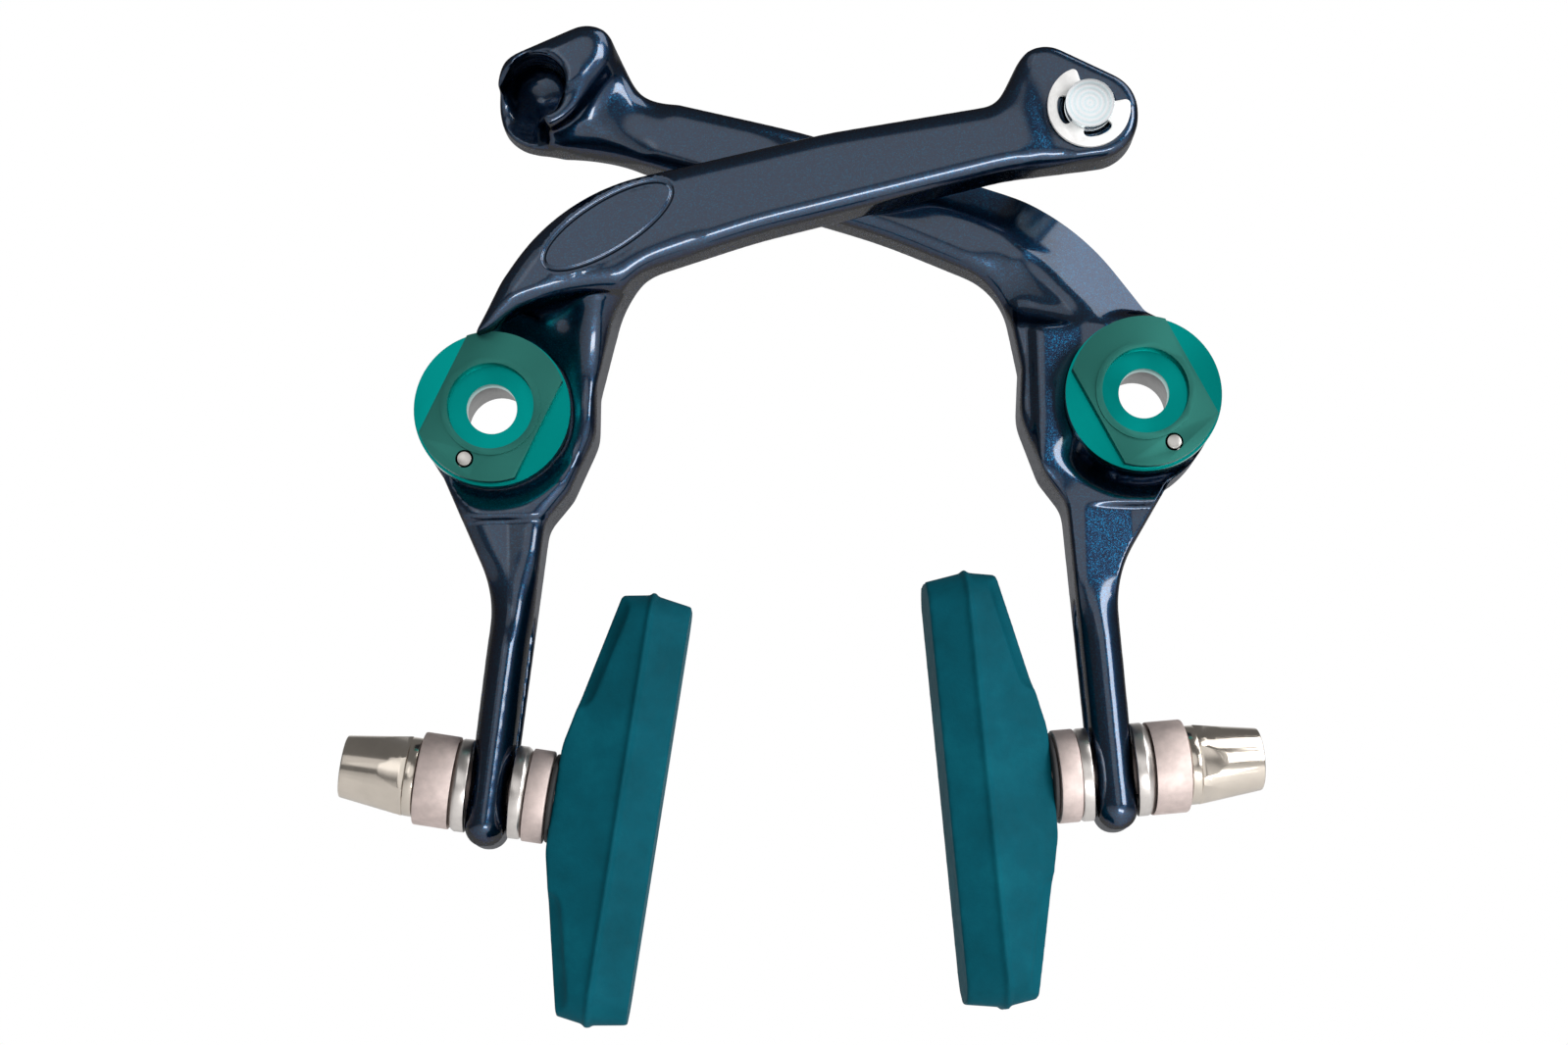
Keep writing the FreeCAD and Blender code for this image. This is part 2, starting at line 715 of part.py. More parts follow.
def clip_line(near, far, angle):
    profile.addGeometry(Part.LineSegment(on_circle(near, angle), on_circle(far, angle)), False)


clip_arc(outer, CLIP_MOUTH, 360 - CLIP_MOUTH)
clip_line(inner, outer, -CLIP_MOUTH)
clip_arc(inner, -CLIP_MOUTH, -RELIEF_NEAR)
clip_line(inner, relief, -RELIEF_NEAR)
clip_arc(relief, -RELIEF_NEAR, -RELIEF_FAR)
clip_line(inner, relief, -RELIEF_FAR)
clip_arc(inner, RELIEF_FAR, 360 - RELIEF_FAR)
clip_line(inner, relief, RELIEF_FAR)
clip_arc(relief, RELIEF_NEAR, RELIEF_FAR)
clip_line(inner, relief, RELIEF_NEAR)
clip_arc(inner, CLIP_MOUTH, RELIEF_NEAR)
clip_line(inner, outer, CLIP_MOUTH)
CLIP_TURN = FreeCAD.Rotation(Z_AXIS, 58.0)
node("anchor_clip", raised("anchor_clip", profile, "Sizes.clip_thick"), head_at * at(0, 0, 0, CLIP_TURN))

# shoes


def ring(name, outer, inner, height, start):
    body = cylinder(name + "_outer", outer, height, start)
    hole = cylinder(name + "_hole", inner, height + " + 4", start - 2.0)
    return cut(name, body, hole)


def dome(name, way):
    """Washer on the fork with a ball face away from it; way is +1 towards the nut, -1 towards the pad."""
    near = size("fork_thick") / 2 + size("seat_gap")
    stock = cylinder(name + "_stock", "Sizes.washer_radius", "Sizes.ball_radius", near)
    if way < 0:
        stock.Placement = at(0, 0, -near - size("ball_radius"))
    face = ball(name + "_ball", "Sizes.ball_radius")
    hole = cylinder(name + "_hole", "Sizes.dome_bore", "40", -20.0)
    return cut(name, common(name + "_cap", [stock, face]), hole)


def cup(name, way, end):
    """Washer with a hollow ball face on the dome and a flat face away from it."""
    near = size("fork_thick") / 2
    stock = cylinder(name + "_stock", "Sizes.washer_radius", "Sizes.%s - Sizes.fork_thick / 2" % end, near)
    if way < 0:
        stock.Placement = at(0, 0, -size(end))
    hollow = ball(name + "_hollow", "Sizes.ball_radius + Sizes.ball_gap")
    hole = cylinder(name + "_hole", "Sizes.cup_bore", "40", -20.0)
    return cut(name, stock, fuse(name + "_cuts", [hollow, hole]))


def brake_pad(name, drop, face_z, part_z):
    """Moulded block with draft both ways from its parting line, a raised middle and thumb scoops."""
    body = doc.addObject("PartDesign::Body", name + "_block")
    half_l = size("pad_length") / 2
    half_d = size("pad_depth") / 2
    corner = size("pad_corner")

    def rectangle(sketch, grow):
        return outline(sketch, [
            (-half_l - grow, -half_d - grow, corner + grow),
            (half_l + grow, -half_d - grow, corner + grow),
            (half_l + grow, half_d + grow, corner + grow),
            (-half_l - grow, half_d + grow, corner + grow),
        ])

    parting = rectangle(sketch_in(body, name + "_parting", at(0, 0, part_z)), 0.0)
    front = pad(body, name + "_front", parting, "Sizes.pad_face_thick", Reversed=True)
    bind(front, TaperAngle="-Sizes.pad_draft")
    parting = rectangle(sketch_in(body, name + "_parting_back", at(0, 0, part_z)), 0.0)
    back = pad(body, name + "_back", parting, "Sizes.pad_hump - Sizes.pad_face_thick")
    bind(back, TaperAngle="-Sizes.pad_draft")
    flash = rectangle(sketch_in(body, name + "_flash", at(0, 0, part_z - size("flash_thick") / 2)),
                      size("flash_out"))
    pad(body, name + "_flash_pad", flash, "Sizes.flash_thick")
    flat = size("pad_flat")
    hump_z = face_z + size("pad_hump")
    end_z = face_z + size("pad_end")
    side_view = FreeCAD.Rotation(X_AXIS, 90)
    tip = half_l - 1.0
    fall = (hump_z - end_z) / (tip - flat)
    run = REACH - flat
    slope = sketch_in(body, name + "_slope", at(0, -REACH / 2, 0, side_view))
    outline(slope, [
        (-REACH, hump_z - fall * run, 0),
        (-flat, hump_z, 8.0),
        (flat, hump_z, 8.0),
        (REACH, hump_z - fall * run, 0),
        (REACH, hump_z + 20.0, 0),
        (-REACH, hump_z + 20.0, 0),
    ])
    item = body.newObject("PartDesign::Pocket", name + "_slope_cut")
    item.Profile = slope
    item.Length = REACH
    doc.recompute()
    scoops = []
    radius = size("scoop_radius")
    lean = math.degrees(math.atan(fall))
    for end in (-1, 1):
        for edge in (-1, 1):
            tag = "%s_scoop_%s_%s" % (name, "low" if end < 0 else "high", "a" if edge < 0 else "b")
            start = size("scoop_start")
            z = hump_z - fall * (start - flat) + 0.35 * radius
            y = edge * (half_d + 0.05 * radius)
            scoops.append(ball(tag + "_end", "Sizes.scoop_radius", end * start, y, z))
            run_out = cylinder(tag + "_run", "Sizes.scoop_radius", "30")
            run_out.Placement = at(end * start, y, z, FreeCAD.Rotation(Y_AXIS, end * (90 + lean)))
            scoops.append(run_out)
    socket = cylinder(name + "_socket", "Sizes.post_flange_radius + 0.05", "20",
                      hump_z - size("post_flange_thick") - 0.05, drop)
    return cut(name, body, fuse(name + "_cuts", scoops + [socket]))


for hand, side, arm_at, inset, toe, lean, drop in (
        ("left", 1, FRONT_AT, 0.0, 0.0, size("front_lean"), size("front_pad_drop")),
        ("right", -1, REAR_AT, size("rear_leg_inset"), size("rear_toe"), 0.0, size("rear_pad_drop"))):
    seat_at = arm_at * shoe_seat(side, inset)
    shoe_at = seat_at * at(0, 0, 0, FreeCAD.Rotation(Y_AXIS, lean) * FreeCAD.Rotation(X_AXIS, toe))
    node("inner_dome_washer_" + hand, dome("inner_dome_washer_" + hand, -1), seat_at)
    node("outer_dome_washer_" + hand, dome("outer_dome_washer_" + hand, 1), seat_at)
    node("inner_cup_washer_" + hand, cup("inner_cup_washer_" + hand, -1, "inner_cup_end"), shoe_at)
    node("outer_cup_washer_" + hand, cup("outer_cup_washer_" + hand, 1, "outer_cup_end"), shoe_at)

    back_z = -size("inner_cup_end") - size("turn_gap")
    name = "pad_ring_" + hand
    node(name, ring(name, "Sizes.pad_ring_radius", "Sizes.post_radius + 0.1", "Sizes.pad_ring_thick",
                    back_z - size("pad_ring_thick")), shoe_at)
    hump_z = back_z - size("pad_ring_thick")
    face_z = hump_z - size("pad_hump")
    name = "brake_pad_" + hand
    node(name, brake_pad(name, drop, face_z, face_z + size("pad_face_thick")), shoe_at * at(-drop, 0, 0))

    nut_z = size("outer_cup_end") + size("turn_gap") + size("nut_washer_thick")
    name = "nut_washer_" + hand
    node(name, ring(name, "Sizes.nut_washer_radius", "Sizes.post_radius + 0.1", "Sizes.nut_washer_thick",
                    nut_z - size("nut_washer_thick")), shoe_at)

    name = "cap_nut_" + hand
    taper = cone(name + "_taper", "Sizes.nut_base_radius", "Sizes.nut_tip_radius", "Sizes.nut_length", nut_z)
    hexagon = doc.addObject("Part::Prism", name + "_hexagon")
    hexagon.Polygon = 6
    hexagon.Placement = at(0, 0, nut_z)
    bind(hexagon, Circumradius="Sizes.nut_flats / sqrt(3)", Height="Sizes.nut_length")
    thread = cylinder(name + "_thread", "Sizes.post_radius + 0.05", "Sizes.nut_bore_depth + 1", nut_z - 1.0)
    node(name, cut(name, common(name + "_body", [taper, hexagon]), thread), shoe_at)

    name = "pad_post_" + hand
    stud_foot = hump_z - size("post_flange_thick")
    stud_length = nut_z + size("nut_bore_depth") - 0.4 - stud_foot
    stud = cylinder(name + "_stud", "Sizes.post_radius", "%s" % stud_length, stud_foot)
    flange = cylinder(name + "_flange", "Sizes.post_flange_radius", "Sizes.post_flange_thick", stud_foot)
    node(name, fuse(name, [stud, flange]), shoe_at)

doc.recompute()

for item in doc.Objects:
    if "Invalid" in item.State or "Error" in item.State:
        raise RuntimeError("%s did not rebuild: %s" % (item.Label, item.State))

os.makedirs("parts", exist_ok=True)
for label, item in nodes.items():
    shape = item.Shape
    if shape.isNull() or not shape.isValid() or len(shape.Solids) != 1:
        raise RuntimeError("%s has no sound solid: %d solids" % (label, len(shape.Solids)))
    shape.exportStep("parts/%s.step" % label)
    box = shape.BoundBox
    print("%-24s %8.1f mm3  x %7.2f %7.2f  y %7.2f %7.2f  z %7.2f %7.2f" % (
        label, shape.Volume, box.XMin, box.XMax, box.YMin, box.YMax, box.ZMin, box.ZMax))
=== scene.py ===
import json
import math
from contextlib import contextmanager

import bmesh
import bpy
import numpy as np
from mathutils import Matrix, Vector

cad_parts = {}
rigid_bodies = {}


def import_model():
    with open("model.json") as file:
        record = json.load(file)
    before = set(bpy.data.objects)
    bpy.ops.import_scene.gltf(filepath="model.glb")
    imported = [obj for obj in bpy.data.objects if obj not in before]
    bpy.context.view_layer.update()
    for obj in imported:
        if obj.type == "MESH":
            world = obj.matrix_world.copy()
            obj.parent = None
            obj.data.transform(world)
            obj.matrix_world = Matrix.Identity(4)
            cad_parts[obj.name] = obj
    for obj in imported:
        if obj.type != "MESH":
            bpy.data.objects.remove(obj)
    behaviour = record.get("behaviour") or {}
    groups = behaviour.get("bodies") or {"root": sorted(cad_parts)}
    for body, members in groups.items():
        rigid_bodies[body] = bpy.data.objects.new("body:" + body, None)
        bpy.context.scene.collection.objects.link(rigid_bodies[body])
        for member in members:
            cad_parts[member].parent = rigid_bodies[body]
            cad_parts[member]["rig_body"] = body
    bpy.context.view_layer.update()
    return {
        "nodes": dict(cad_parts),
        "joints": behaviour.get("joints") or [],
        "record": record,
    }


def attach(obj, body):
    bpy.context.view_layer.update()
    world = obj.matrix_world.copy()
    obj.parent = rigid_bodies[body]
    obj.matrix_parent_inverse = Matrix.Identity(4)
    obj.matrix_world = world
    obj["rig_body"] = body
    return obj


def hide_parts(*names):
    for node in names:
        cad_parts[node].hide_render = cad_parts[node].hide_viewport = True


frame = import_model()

# In the mesh code lengths are millimetres, and places seen from the front are (x, z).
# The front is towards negative y, so a point's height above the back is -y.
MM = 0.001
NODES = frame["nodes"]
JOINTS = {row["name"]: row for row in frame["joints"]}
MOUNTS = {row["name"]: row for row in frame["record"]["mounts"]}
HANDS = ("left", "right")
scene = bpy.context.scene


def place_of(row):
    """Where a joint or mount is."""
    return np.array(row["pos_m"]) / MM


def seen_place(row):
    """Where a joint or mount is, seen from the front."""
    return place_of(row)[[0, 2]]


# mesh helpers

WELD = 0.004
FLAT = math.radians(0.4)
BEVELLED_ABOVE = math.radians(32.0)
SHARP_ABOVE = math.radians(24.0)


@contextmanager
def editing(mesh):
    """Opens a mesh to edit, and writes the result back."""
    bm = bmesh.new()
    bm.from_mesh(mesh)
    yield bm
    bm.to_mesh(mesh)
    bm.free()


def merge_flat(bm):
    """Joins faces that lie in one plane, so that only real edges are left."""
    bmesh.ops.dissolve_limit(bm, angle_limit=FLAT, verts=bm.verts, edges=bm.edges, delimit=set())


def new_piece(name, mesh, node):
    """A piece that stands for a CAD node and rides on its body."""
    piece = bpy.data.objects.new(name, mesh)
    scene.collection.objects.link(piece)
    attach(piece, NODES[node]["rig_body"])
    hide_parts(node)
    return piece


def clean_mesh(node):
    """The node's mesh welded, with no stored normals."""
    source = NODES[node].data
    mesh = bpy.data.meshes.new(node + "_look")
    mesh.from_pydata([v.co[:] for v in source.vertices], [], [p.vertices[:] for p in source.polygons])
    with editing(mesh) as bm:
        bmesh.ops.remove_doubles(bm, verts=bm.verts, dist=WELD * MM)
        bmesh.ops.recalc_face_normals(bm, faces=bm.faces)
    return mesh


def settle(piece):
    """Applies the piece's modifiers to its mesh."""
    graph = bpy.context.evaluated_depsgraph_get()
    graph.update()
    made = bpy.data.meshes.new_from_object(piece.evaluated_get(graph))
    piece.modifiers.clear()
    old = piece.data
    piece.data = made
    bpy.data.meshes.remove(old)


def extruded(outline, front, back):
    """A closed solid between two depths, from an outline seen from the front."""
    mesh = bpy.data.meshes.new("extruded")
    with editing(mesh) as bm:
        face = bm.faces.new([bm.verts.new((x * MM, front * MM, z * MM)) for x, z in outline])
        walls = bmesh.ops.extrude_face_region(bm, geom=[face])["geom"]
        moved = [item for item in walls if isinstance(item, bmesh.types.BMVert)]
        bmesh.ops.translate(bm, verts=moved, vec=(0.0, (back - front) * MM, 0.0))
        bmesh.ops.recalc_face_normals(bm, faces=bm.faces)
    return mesh


def soften(node, voxel, rounds, added=()):
    """Forged or moulded look: the node and any added solids, with every edge and joint run together."""
    mesh = clean_mesh(node)
    with editing(mesh) as bm:
        for solid in added:
            bm.from_mesh(solid)
            bpy.data.meshes.remove(solid)
    piece = new_piece(node + "_look", mesh, node)
    remesh = piece.modifiers.new("skin", "REMESH")
    remesh.mode = "VOXEL"
    remesh.voxel_size = voxel * MM
    smooth = piece.modifiers.new("run", "SMOOTH")
    smooth.factor = 0.5
    smooth.iterations = rounds
    settle(piece)
    piece.data.shade_smooth()
    return piece


def bevelled(node, width, segments=2, mesh=None):
    """Machined look: the node's shape, or the given mesh for it, with its sharp edges broken."""
    mesh = mesh or clean_mesh(node)
    with editing(mesh) as bm:
        merge_flat(bm)
    piece = new_piece(node + "_look", mesh, node)
    edge = piece.modifiers.new("edge", "BEVEL")
    edge.width = width * MM
    edge.segments = segments
    edge.limit_method = "ANGLE"
    edge.angle_limit = BEVELLED_ABOVE
    edge.use_clamp_overlap = True
    settle(piece)
    piece.data.shade_smooth()
    piece.data.set_sharp_from_angle(angle=SHARP_ABOVE)
    return piece


def get_points(piece):
    """The piece's points, a row each."""
    flat = np.empty(len(piece.data.vertices) * 3)
    piece.data.vertices.foreach_get("co", flat)
    return flat.reshape(-1, 3) / MM


def put_points(piece, points):
    """Moves the piece's points to these."""
    piece.data.vertices.foreach_set("co", (points * MM).ravel())
    piece.data.update()


# Masks: a share from 0 to 1 for each point.

def ease(value, low, high):
    """0 at low, 1 at high, with no corner at either end."""
    part = np.clip((value - low) / (high - low), 0.0, 1.0)
    return part * part * (3.0 - 2.0 * part)


def fade(value, full, gone):
    """1 at full, 0 at gone."""
    return 1.0 - ease(value, full, gone)


def band(value, low, full, still, gone):
    """0 at low, 1 from full to still, 0 again at gone."""
    return ease(value, low, full) * fade(value, still, gone)


def facing_front(piece):
    """1 where the surface faces the front, 0 where it faces back."""
    flat = np.empty(len(piece.data.vertices) * 3)
    piece.data.vertex_normals.foreach_get("vector", flat)
    return ease(-flat.reshape(-1, 3)[:, 1], -0.1, 0.3)


def reach_from(points, place):
    """Each point's distance from a place, seen from the front."""
    return np.hypot(points[:, 0] - place[0], points[:, 2] - place[1])


def turn_about(points, place):
    """Each point's direction from a place in degrees, from the right over the top."""
    return np.degrees(np.arctan2(points[:, 2] - place[1], points[:, 0] - place[0])) % 360.0


def beside(points, line):
    """Each point's distance from a line of corners, the side it is on, and how far along it is."""
    line = np.array(line)
    best = np.full(len(points), np.inf)
    side = np.zeros(len(points))
    along = np.zeros(len(points))
    for number, (a, b) in enumerate(zip(line[:-1], line[1:])):
        run = b - a
        off = points[:, (0, 2)] - a
        share = np.clip(off @ run / (run @ run), 0.0, 1.0)
        gap = off - share[:, None] * run
        far = np.hypot(gap[:, 0], gap[:, 1])
        near = far < best
        best[near] = far[near]
        side[near] = np.sign(run[0] * off[near, 1] - run[1] * off[near, 0])
        along[near] = (number + share[near]) / (len(line) - 1)
    return best, side, along


def relax(piece, weight, rounds):
    """Runs a surface further together, as far as the weight of each point says."""
    points = get_points(piece)
    edges = piece.data.edges
    pairs = np.empty(len(edges) * 2, dtype=np.int64)
    edges.foreach_get("vertices", pairs)
    pairs = pairs.reshape(-1, 2)
    pairs = pairs[(weight[pairs] > 0.0).any(axis=1)]
    count = np.zeros(len(points))
    np.add.at(count, pairs[:, 0], 1.0)
    np.add.at(count, pairs[:, 1], 1.0)
    live = (weight > 0.0) & (count > 0)
    pull = (0.5 * weight[live])[:, None]
    for _ in range(rounds):
        total = np.zeros_like(points)
        np.add.at(total, pairs[:, 0], points[pairs[:, 1]])
        np.add.at(total, pairs[:, 1], points[pairs[:, 0]])
        points[live] += pull * (total[live] / count[live][:, None] - points[live])
    put_points(piece, points)


# material helpers

class Nodes:
    """A node tree with short ways to add to it."""

    def __init__(self, tree):
        self.tree = tree

    def add(self, kind, **settings):
        node = self.tree.nodes.new(kind)
        for label, value in settings.items():
            setattr(node, label, value)
        return node

    def link(self, source, target):
        self.tree.links.new(source, target)

    def ramp(self, source, *stops):
        node = self.add("ShaderNodeValToRGB")
        bar = node.color_ramp.elements
        while len(bar) < len(stops):
            bar.new(0.5)
        for element, (where, colour) in zip(bar, stops):
            element.position = where
            element.color = (*colour, 1.0)
        self.link(source, node.inputs["Fac"])
        return node.outputs["Color"]

    def spread(self, source, low=0.0, high=1.0, start=0.0, end=1.0):
        """Runs from low to high while the source runs from start to end."""
        node = self.add("ShaderNodeMapRange")
        node.inputs["From Min"].default_value = start
        node.inputs["From Max"].default_value = end
        node.inputs["To Min"].default_value = low
        node.inputs["To Max"].default_value = high
        self.link(source, node.inputs["Value"])
        return node.outputs["Result"]

    def larger(self, first, second):
        node = self.add("ShaderNodeMath", operation="MAXIMUM")
        self.link(first, node.inputs[0])
        self.link(second, node.inputs[1])
        return node.outputs["Value"]

    def vector(self, operation, source):
        """A vector node with its first input linked."""
        node = self.add("ShaderNodeVectorMath", operation=operation)
        self.link(source, node.inputs[0])
        return node


class Shade(Nodes):
    """A material with a principled shader."""

    def __init__(self, name, **sockets):
        self.material = bpy.data.materials.new(name)
        self.material.use_nodes = True
        super().__init__(self.material.node_tree)
        self.shader = self.tree.nodes["Principled BSDF"]
        for label, value in sockets.items():
            self.shader.inputs[label.replace("_", " ")].default_value = value
        self.place = self.add("ShaderNodeTexCoord").outputs["Object"]

    def noise(self, per_mm, detail=3.0, rough=0.55):
        node = self.add("ShaderNodeTexNoise")
        node.inputs["Scale"].default_value = per_mm / MM
        node.inputs["Detail"].default_value = detail
        node.inputs["Roughness"].default_value = rough
        self.link(self.place, node.inputs["Vector"])
        return node.outputs["Fac"]

    def bump(self, source, depth, strength):
        node = self.add("ShaderNodeBump")
        node.inputs["Distance"].default_value = depth * MM
        node.inputs["Strength"].default_value = strength
        self.link(source, node.inputs["Height"])
        self.link(node.outputs["Normal"], self.shader.inputs["Normal"])

    def colour(self, source):
        self.link(source, self.shader.inputs["Base Color"])

    def mottle(self, source, base, darkness):
        """The base colour, running to a darker one in patches."""
        dark = tuple(part * darkness for part in base)
        self.colour(self.ramp(source, (0.35, dark), (0.65, base)))

    def roughness(self, source):
        self.link(source, self.shader.inputs["Roughness"])

    def wear(self, *pieces):
        for piece in pieces:
            piece.data.materials.clear()
            piece.data.materials.append(self.material)


# materials

def enamel():
    """Near-black blue enamel: metal flake under a clear gloss coat."""
    flakes_per_mm = 8.5
    flake_tilt = 0.12
    flake_colours = (
        (0.0, (0.009, 0.020, 0.052)), (0.70, (0.006, 0.026, 0.064)), (1.0, (0.001, 0.058, 0.122)))
    m = Shade("arm_enamel", Metallic=1.0, Roughness=0.30, Coat_Roughness=0.10, Coat_IOR=1.62,
              Specular_Tint=(0.10, 0.11, 0.14, 1.0))
    flake = m.add("ShaderNodeTexVoronoi", feature="F1")
    flake.inputs["Scale"].default_value = flakes_per_mm / MM
    m.link(m.place, flake.inputs["Vector"])
    split = m.add("ShaderNodeSeparateColor")
    m.link(flake.outputs["Color"], split.inputs["Color"])
    m.colour(m.ramp(split.outputs["Red"], *flake_colours))
    # each flake's random colour, centred on zero, tilts its normal
    centred = m.vector("SUBTRACT", flake.outputs["Color"])
    centred.inputs[1].default_value = (0.5, 0.5, 0.5)
    tilt = m.vector("SCALE", centred.outputs["Vector"])
    tilt.inputs["Scale"].default_value = flake_tilt
    lean = m.vector("ADD", m.add("ShaderNodeNewGeometry").outputs["Normal"])
    m.link(tilt.outputs["Vector"], lean.inputs[1])
    unit = m.vector("NORMALIZE", lean.outputs["Vector"])
    m.link(unit.outputs["Vector"], m.shader.inputs["Normal"])
    # the coat is full where the surface is seen square on, and thins out towards its outline
    facing = m.add("ShaderNodeLayerWeight").outputs["Facing"]
    m.link(m.spread(facing, low=1.0, high=0.0), m.shader.inputs["Coat Weight"])
    return m


def anodised():
    """Green anodised aluminium: a duller hub face and glossier turned faces lower down, with painted shade
    darkening the hub face and a painted reflection brightening the turned faces.
    """
    hub_painted_shade = (0.030, 0.166, 0.140)
    turned_painted_sheen = (0.001, 0.260, 0.240)
    painted_shade_from = -17.4
    painted_sheen_from = -16.2
    m = Shade("green_anodised", Metallic=1.0, Roughness=0.36, Anisotropic=0.6)
    around = m.add("ShaderNodeTangent", direction_type="RADIAL", axis="Y")
    m.link(around.outputs["Tangent"], m.shader.inputs["Tangent"])
    split = m.add("ShaderNodeSeparateXYZ")
    m.link(m.place, split.inputs["Vector"])
    lower = m.spread(split.outputs["Y"], start=painted_shade_from * MM, end=painted_sheen_from * MM)
    # painted light: the colour runs from painted shade on the hub face to a painted reflection on the
    # turned faces lower down
    m.colour(m.ramp(lower, (0.0, hub_painted_shade), (1.0, turned_painted_sheen)))
    m.roughness(m.spread(lower, low=0.46, high=0.28))
    m.bump(m.noise(per_mm=9.0, detail=2.0), depth=0.008, strength=0.4)
    return m


def rubber():
    """Blue-green pad rubber, a little cloudy."""
    m = Shade("pad_rubber", Roughness=0.66, Specular_IOR_Level=0.06)
    m.colour(m.ramp(
        m.noise(per_mm=0.12, detail=6.0, rough=0.65),
        (0.30, (0.0001, 0.050, 0.070)), (0.55, (0.0001, 0.065, 0.092)), (0.75, (0.001, 0.086, 0.116))))
    m.roughness(m.spread(m.noise(per_mm=0.7, detail=4.0), low=0.55, high=0.75))
    m.bump(m.noise(per_mm=2.6, detail=5.0, rough=0.6), depth=0.05, strength=0.5)
    return m


def steel(name, base, rough, grain, depth, metallic=1.0):
    """A metal with its range of roughness, its grain per millimetre and the depth of its texture."""
    low, high = rough
    m = Shade(name, Metallic=metallic, Roughness=(low + high) / 2)
    m.mottle(m.noise(per_mm=grain * 0.35, detail=4.0), base, darkness=0.86)
    m.roughness(m.spread(m.noise(per_mm=grain), low, high))
    m.bump(m.noise(per_mm=grain * 3.0, detail=2.0), depth, strength=0.5)
    return m


def turned_zinc(axis):
    """Pale zinc plate with turned rings round an axis along y."""
    ring_scale = 0.5
    m = Shade("zinc_steel", Metallic=1.0, Roughness=0.42)
    centred = m.add("ShaderNodeMapping")
    centred.inputs["Location"].default_value = (-axis[0] * MM, 0.0, -axis[1] * MM)
    m.link(m.place, centred.inputs["Vector"])
    rings = m.add("ShaderNodeTexWave", wave_type="RINGS", rings_direction="Y")
    rings.inputs["Scale"].default_value = ring_scale / MM
    rings.inputs["Distortion"].default_value = 0.6
    m.link(centred.outputs["Vector"], rings.inputs["Vector"])
    m.colour(m.ramp(
        rings.outputs["Fac"],
        (0.0, (0.76, 0.88, 0.92)), (0.5, (0.84, 0.93, 0.95)), (1.0, (0.92, 0.92, 0.95))))
    m.roughness(m.spread(m.noise(per_mm=1.4), low=0.20, high=0.32))
    m.bump(rings.outputs["Fac"], depth=0.007, strength=0.5)
    return m


def plain(name, base, rough, grain=1.5):
    """A dull moulded material."""
    m = Shade(name, Roughness=rough)
    m.mottle(m.noise(per_mm=grain), base, darkness=0.8)
    m.bump(m.noise(per_mm=grain * 2.0), depth=0.02, strength=0.4)
    return m


# both arms

FORGED_VOXEL = 0.32
FORGED_ROUNDS = 14
NOSE_BEND = 1.8
LOWER_TILT = 0.2
LOWER_TILT_FROM = 32.4
LOWER_TILT_WIDTH = 6.0


def round_nose(points, top):
    """Rounds the front of a leg below a height, across its width and at its foot."""
    row = 0.5
    foot_height = 3.0
    x, y, z = points.T
    front_half = y < -6.0
    leg = (z < top) & front_half
    rows, place = np.unique(np.floor(z[leg] / row).astype(int), return_inverse=True)
    low = np.full(len(rows), np.inf)
    high = np.full(len(rows), -np.inf)
    np.minimum.at(low, place, x[leg])
    np.maximum.at(high, place, x[leg])
    heights = (rows + 0.5) * row
    middle = np.interp(z, heights, (low + high) / 2)
    half = np.interp(z, heights, (high - low) / 2)
    across = np.clip(np.abs(x - middle) / half, 0.0, 1.0)
    foot = np.clip((rows[0] * row + foot_height - z) / foot_height, 0.0, 1.0)
    bend = np.clip(across ** 2 + foot ** 2, 0.0, 1.2)
    y += NOSE_BEND * bend * fade(z, top - 8.0, top) * ease(-y, 7.0, 12.0)


def tilt_lower_face(points, hand):
    """Tilts an arm's face below the hub towards its outer side; hand is 1 on the right, -1 on the left."""
    x, y, z = points.T
    out = hand * x
    outer = ease(out, 31.6, 32.6)
    below_hub = band(z, -30.0, -24.0, -13.6, -12.8)
    on_face = ease(-y, 10.0, 11.0)
    y += outer * below_hub * on_face * LOWER_TILT * np.clip(out - LOWER_TILT_FROM, 0.0, LOWER_TILT_WIDTH)


# front arm

RAIL = [(-19.7, 20.2), (-26.7, 14.8), (-27.6, 10.3), (-28.2, 4.7), (-28.6, -0.4)]
RAIL_TOP = -22.0
RAIL_FOOT = -13.6
RAIL_WIDTH = 2.1
HUB_SWELL = 0.5
CREST_TIP = (-42.4, 11.0)
CREST_DRAWN = np.array([-0.5, 0.8, -1.7])
HEAD_STEP = [(26.1, 38.9), (29.0, 28.7)]
FRONT_LEG_TOP = -17.0


def dress_front_arm():
    """A rail follows the inner edge down beside the hub, and the outer crest runs on to the adjuster."""
    arm = soften("front_arm", FORGED_VOXEL, FORGED_ROUNDS)
    points = get_points(arm)
    x, y, z = points.T
    rail_gap, _, along = beside(points, RAIL)
    crown = RAIL_FOOT + (RAIL_TOP - RAIL_FOOT) * fade(along, 0.0, 0.85)
    raised = np.exp(-(rail_gap / RAIL_WIDTH) ** 2) * ease(-y, 9.0, 13.4) * facing_front(arm)
    y += raised * np.minimum(crown - y, 0.0)

    hub_side = fade(x, -43.0, -41.0) * band(z, 4.0, 7.5, 11.0, 14.0) * ease(y, -14.5, -12.0)
    x -= HUB_SWELL * hub_side
    tip = reach_from(points, CREST_TIP)
    drawn = fade(tip, 0.8, 6.5) * ease(-y, 12.8, 15.0)
    points += drawn[:, None] * CREST_DRAWN
    tilt_lower_face(points, -1.0)
    round_nose(points, FRONT_LEG_TOP)
    put_points(arm, points)

    step, _, _ = beside(points, HEAD_STEP)
    relax(arm, fade(step, 1.2, 3.5) * ease(-y, 18.0, 20.0), rounds=70)
    rail = ease(-y, 8.0, 12.0) * fade(rail_gap, 4.5, 7.0) * facing_front(arm)
    relax(arm, np.maximum(fade(tip, 1.5, 6.0), rail), rounds=60)
    return arm


